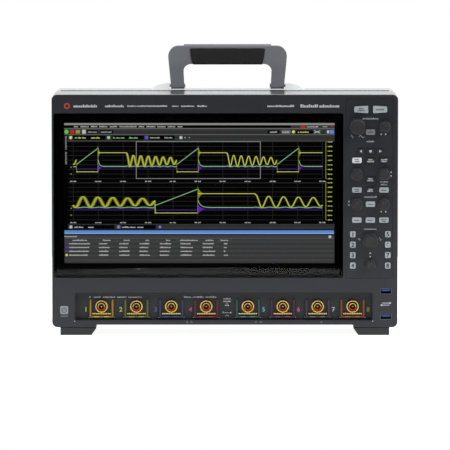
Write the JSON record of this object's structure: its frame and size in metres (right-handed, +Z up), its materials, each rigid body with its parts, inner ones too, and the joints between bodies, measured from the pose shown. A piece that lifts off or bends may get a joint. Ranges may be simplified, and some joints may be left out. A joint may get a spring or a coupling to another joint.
{
  "type": "bench signal analyzer",
  "caption": "Bench instrument with a wide touch display, a row of coaxial inputs in a recessed bay, a column of keys and knobs, flip-out legs and a folding top handle.",
  "frame": {"origin": "on the bench, under the middle of the overall box", "axes": "+X to the user's right, +Z up, the display faces -Y"},
  "size_m": [0.44, 0.237, 0.3642],
  "materials": {
    "bezel_plastic": "fine spark texture, semi-matte",
    "cover_plastic": "textured painted plastic",
    "handle_plastic": "fine texture",
    "grip_rubber": "soft matte",
    "foot_plastic": "hard rubbery plastic",
    "display_glass": "polished, dark border",
    "display_panel": "glossy panel front, metal back",
    "fascia_plastic": "fine satin",
    "key_light": "satin translucent",
    "key_white": "satin translucent",
    "key_dark": "satin",
    "knob_plastic": "soft-touch",
    "bay_plastic": "satin",
    "channel_plastic": "one colour for each input",
    "connector_gold": "gold-plated",
    "contact_gold": "gold-plated pads in a dark block",
    "bright_steel": "nickel plated",
    "sheet_steel": "zinc plated",
    "board_green": "solder mask",
    "fan_plastic": "moulded",
    "port_steel": "brushed",
    "inlet_plastic": "moulded",
    "screw_steel": "black zinc"
  },
  "bodies": {
    "case": {"front_bezel": "bezel_plastic", "rear_cover": "cover_plastic", "handle_pivots": "handle_plastic", "feet": "foot_plastic", "touch_glass": "display_glass", "display_module": "display_panel", "control_fascia": "fascia_plastic", "control_board": "board_green", "input_panel": "bay_plastic", "channel_frames": "channel_plastic", "input_connectors": "connector_gold", "contact_strips": "contact_gold", "probe_terminals": "bright_steel", "front_usb_ports": "bright_steel", "chassis": "sheet_steel", "acquisition_board": "board_green", "power_supply": "sheet_steel", "fan_frame": "fan_plastic", "rear_ports": "port_steel", "power_inlet": "inlet_plastic", "case_screws": "screw_steel"},
    "handle": {"handle_frame": "handle_plastic", "handle_grip": "grip_rubber"},
    "tilt_leg_left": {"tilt_leg_left": "foot_plastic"},
    "tilt_leg_right": {"tilt_leg_right": "foot_plastic"},
    "fan": {"fan_rotor": "fan_plastic"},
    "knob_time_scale": {"knob_time_scale": "knob_plastic"},
    "knob_time_position": {"knob_time_position": "knob_plastic"},
    "knob_multipurpose": {"knob_multipurpose": "knob_plastic"},
    "knob_trigger_level": {"knob_trigger_level": "knob_plastic"},
    "knob_marker_left": {"knob_marker_left": "knob_plastic"},
    "knob_marker_right": {"knob_marker_right": "knob_plastic"},
    "knob_vertical_scale": {"knob_vertical_scale": "knob_plastic"},
    "knob_vertical_offset": {"knob_vertical_offset": "knob_plastic"},
    "key_run_stop": {"key_run_stop": "key_light"},
    "key_single": {"key_single": "key_light"},
    "key_zoom": {"key_zoom": "key_light"},
    "key_navigate_back": {"key_navigate_back": "key_dark"},
    "key_navigate_stop": {"key_navigate_stop": "key_dark"},
    "key_navigate_play": {"key_navigate_play": "key_dark"},
    "key_fine": {"key_fine": "key_white"},
    "key_clear_display": {"key_clear_display": "key_dark"},
    "key_default_setup": {"key_default_setup": "key_dark"},
    "key_touch_off": {"key_touch_off": "key_dark"},
    "key_trigger_left": {"key_trigger_left": "key_light"},
    "key_auto_scale": {"key_auto_scale": "key_dark"},
    "key_trigger_right": {"key_trigger_right": "key_light"},
    "key_markers": {"key_markers": "key_light"},
    "key_store_left": {"key_store_left": "key_light"},
    "key_store_centre": {"key_store_centre": "key_light"},
    "key_store_right": {"key_store_right": "key_light"},
    "key_channel_1": {"key_channel_1": "key_light"},
    "key_channel_2": {"key_channel_2": "key_light"},
    "key_channel_3": {"key_channel_3": "key_light"},
    "key_channel_4": {"key_channel_4": "key_light"},
    "key_channel_5": {"key_channel_5": "key_light"},
    "key_channel_6": {"key_channel_6": "key_light"},
    "key_channel_7": {"key_channel_7": "key_light"},
    "key_channel_8": {"key_channel_8": "key_light"},
    "key_power": {"key_power": "key_light"}
  },
  "joints": [
    {"name": "handle_fold", "type": "hinge", "parent": "case", "child": "handle", "pos_m": [0.0035, 0.0255, 0.311], "axis": [-1, 0, 0], "range_deg": [0, 75]},
    {"name": "tilt_leg_left_flip", "type": "hinge", "parent": "case", "child": "tilt_leg_left", "pos_m": [-0.1898, -0.0885, 0.004], "axis": [-1, 0, 0], "range_deg": [0, 95]},
    {"name": "tilt_leg_right_flip", "type": "hinge", "parent": "case", "child": "tilt_leg_right", "pos_m": [0.1898, -0.0885, 0.004], "axis": [-1, 0, 0], "range_deg": [0, 95]},
    {"name": "fan_spin", "type": "hinge", "parent": "case", "child": "fan", "pos_m": [0.095, 0.093, 0.158], "axis": [0, 1, 0], "continuous": true},
    {"name": "knob_time_scale_turn", "type": "hinge", "parent": "case", "child": "knob_time_scale", "pos_m": [0.1687, -0.1035, 0.2663], "axis": [0, 1, 0], "continuous": true},
    {"name": "knob_time_position_turn", "type": "hinge", "parent": "case", "child": "knob_time_position", "pos_m": [0.2034, -0.1035, 0.2663], "axis": [0, 1, 0], "continuous": true},
    {"name": "knob_multipurpose_turn", "type": "hinge", "parent": "case", "child": "knob_multipurpose", "pos_m": [0.1678, -0.1035, 0.2057], "axis": [0, 1, 0], "continuous": true},
    {"name": "knob_trigger_level_turn", "type": "hinge", "parent": "case", "child": "knob_trigger_level", "pos_m": [0.2022, -0.1035, 0.2057], "axis": [0, 1, 0], "continuous": true},
    {"name": "knob_marker_left_turn", "type": "hinge", "parent": "case", "child": "knob_marker_left", "pos_m": [0.1678, -0.1035, 0.1677], "axis": [0, 1, 0], "continuous": true},
    {"name": "knob_marker_right_turn", "type": "hinge", "parent": "case", "child": "knob_marker_right", "pos_m": [0.2022, -0.1035, 0.1677], "axis": [0, 1, 0], "continuous": true},
    {"name": "knob_vertical_scale_turn", "type": "hinge", "parent": "case", "child": "knob_vertical_scale", "pos_m": [0.185, -0.1035, 0.1211], "axis": [0, 1, 0], "continuous": true},
    {"name": "knob_vertical_offset_turn", "type": "hinge", "parent": "case", "child": "knob_vertical_offset", "pos_m": [0.185, -0.1035, 0.0907], "axis": [0, 1, 0], "continuous": true},
    {"name": "key_run_stop_press", "type": "slide", "parent": "case", "child": "key_run_stop", "axis": [0, 1, 0], "range_m": [0, 0.001], "stiffness_N_per_m": 400},
    {"name": "key_single_press", "type": "slide", "parent": "case", "child": "key_single", "axis": [0, 1, 0], "range_m": [0, 0.001], "stiffness_N_per_m": 400},
    {"name": "key_zoom_press", "type": "slide", "parent": "case", "child": "key_zoom", "axis": [0, 1, 0], "range_m": [0, 0.001], "stiffness_N_per_m": 400},
    {"name": "key_navigate_back_press", "type": "slide", "parent": "case", "child": "key_navigate_back", "axis": [0, 1, 0], "range_m": [0, 0.001], "stiffness_N_per_m": 400},
    {"name": "key_navigate_stop_press", "type": "slide", "parent": "case", "child": "key_navigate_stop", "axis": [0, 1, 0], "range_m": [0, 0.001], "stiffness_N_per_m": 400},
    {"name": "key_navigate_play_press", "type": "slide", "parent": "case", "child": "key_navigate_play", "axis": [0, 1, 0], "range_m": [0, 0.001], "stiffness_N_per_m": 400},
    {"name": "key_fine_press", "type": "slide", "parent": "case", "child": "key_fine", "axis": [0, 1, 0], "range_m": [0, 0.001], "stiffness_N_per_m": 400},
    {"name": "key_clear_display_press", "type": "slide", "parent": "case", "child": "key_clear_display", "axis": [0, 1, 0], "range_m": [0, 0.001], "stiffness_N_per_m": 400},
    {"name": "key_default_setup_press", "type": "slide", "parent": "case", "child": "key_default_setup", "axis": [0, 1, 0], "range_m": [0, 0.001], "stiffness_N_per_m": 400},
    {"name": "key_touch_off_press", "type": "slide", "parent": "case", "child": "key_touch_off", "axis": [0, 1, 0], "range_m": [0, 0.001], "stiffness_N_per_m": 400},
    {"name": "key_trigger_left_press", "type": "slide", "parent": "case", "child": "key_trigger_left", "axis": [0, 1, 0], "range_m": [0, 0.001], "stiffness_N_per_m": 400},
    {"name": "key_auto_scale_press", "type": "slide", "parent": "case", "child": "key_auto_scale", "axis": [0, 1, 0], "range_m": [0, 0.001], "stiffness_N_per_m": 400},
    {"name": "key_trigger_right_press", "type": "slide", "parent": "case", "child": "key_trigger_right", "axis": [0, 1, 0], "range_m": [0, 0.001], "stiffness_N_per_m": 400},
    {"name": "key_markers_press", "type": "slide", "parent": "case", "child": "key_markers", "axis": [0, 1, 0], "range_m": [0, 0.001], "stiffness_N_per_m": 400},
    {"name": "key_store_left_press", "type": "slide", "parent": "case", "child": "key_store_left", "axis": [0, 1, 0], "range_m": [0, 0.001], "stiffness_N_per_m": 400},
    {"name": "key_store_centre_press", "type": "slide", "parent": "case", "child": "key_store_centre", "axis": [0, 1, 0], "range_m": [0, 0.001], "stiffness_N_per_m": 400},
    {"name": "key_store_right_press", "type": "slide", "parent": "case", "child": "key_store_right", "axis": [0, 1, 0], "range_m": [0, 0.001], "stiffness_N_per_m": 400},
    {"name": "key_channel_1_press", "type": "slide", "parent": "case", "child": "key_channel_1", "axis": [0, 1, 0], "range_m": [0, 0.001], "stiffness_N_per_m": 400},
    {"name": "key_channel_2_press", "type": "slide", "parent": "case", "child": "key_channel_2", "axis": [0, 1, 0], "range_m": [0, 0.001], "stiffness_N_per_m": 400},
    {"name": "key_channel_3_press", "type": "slide", "parent": "case", "child": "key_channel_3", "axis": [0, 1, 0], "range_m": [0, 0.001], "stiffness_N_per_m": 400},
    {"name": "key_channel_4_press", "type": "slide", "parent": "case", "child": "key_channel_4", "axis": [0, 1, 0], "range_m": [0, 0.001], "stiffness_N_per_m": 400},
    {"name": "key_channel_5_press", "type": "slide", "parent": "case", "child": "key_channel_5", "axis": [0, 1, 0], "range_m": [0, 0.001], "stiffness_N_per_m": 400},
    {"name": "key_channel_6_press", "type": "slide", "parent": "case", "child": "key_channel_6", "axis": [0, 1, 0], "range_m": [0, 0.001], "stiffness_N_per_m": 400},
    {"name": "key_channel_7_press", "type": "slide", "parent": "case", "child": "key_channel_7", "axis": [0, 1, 0], "range_m": [0, 0.001], "stiffness_N_per_m": 400},
    {"name": "key_channel_8_press", "type": "slide", "parent": "case", "child": "key_channel_8", "axis": [0, 1, 0], "range_m": [0, 0.001], "stiffness_N_per_m": 400},
    {"name": "key_power_press", "type": "slide", "parent": "case", "child": "key_power", "axis": [0, 1, 0], "range_m": [0, 0.001], "stiffness_N_per_m": 400}
  ]
}
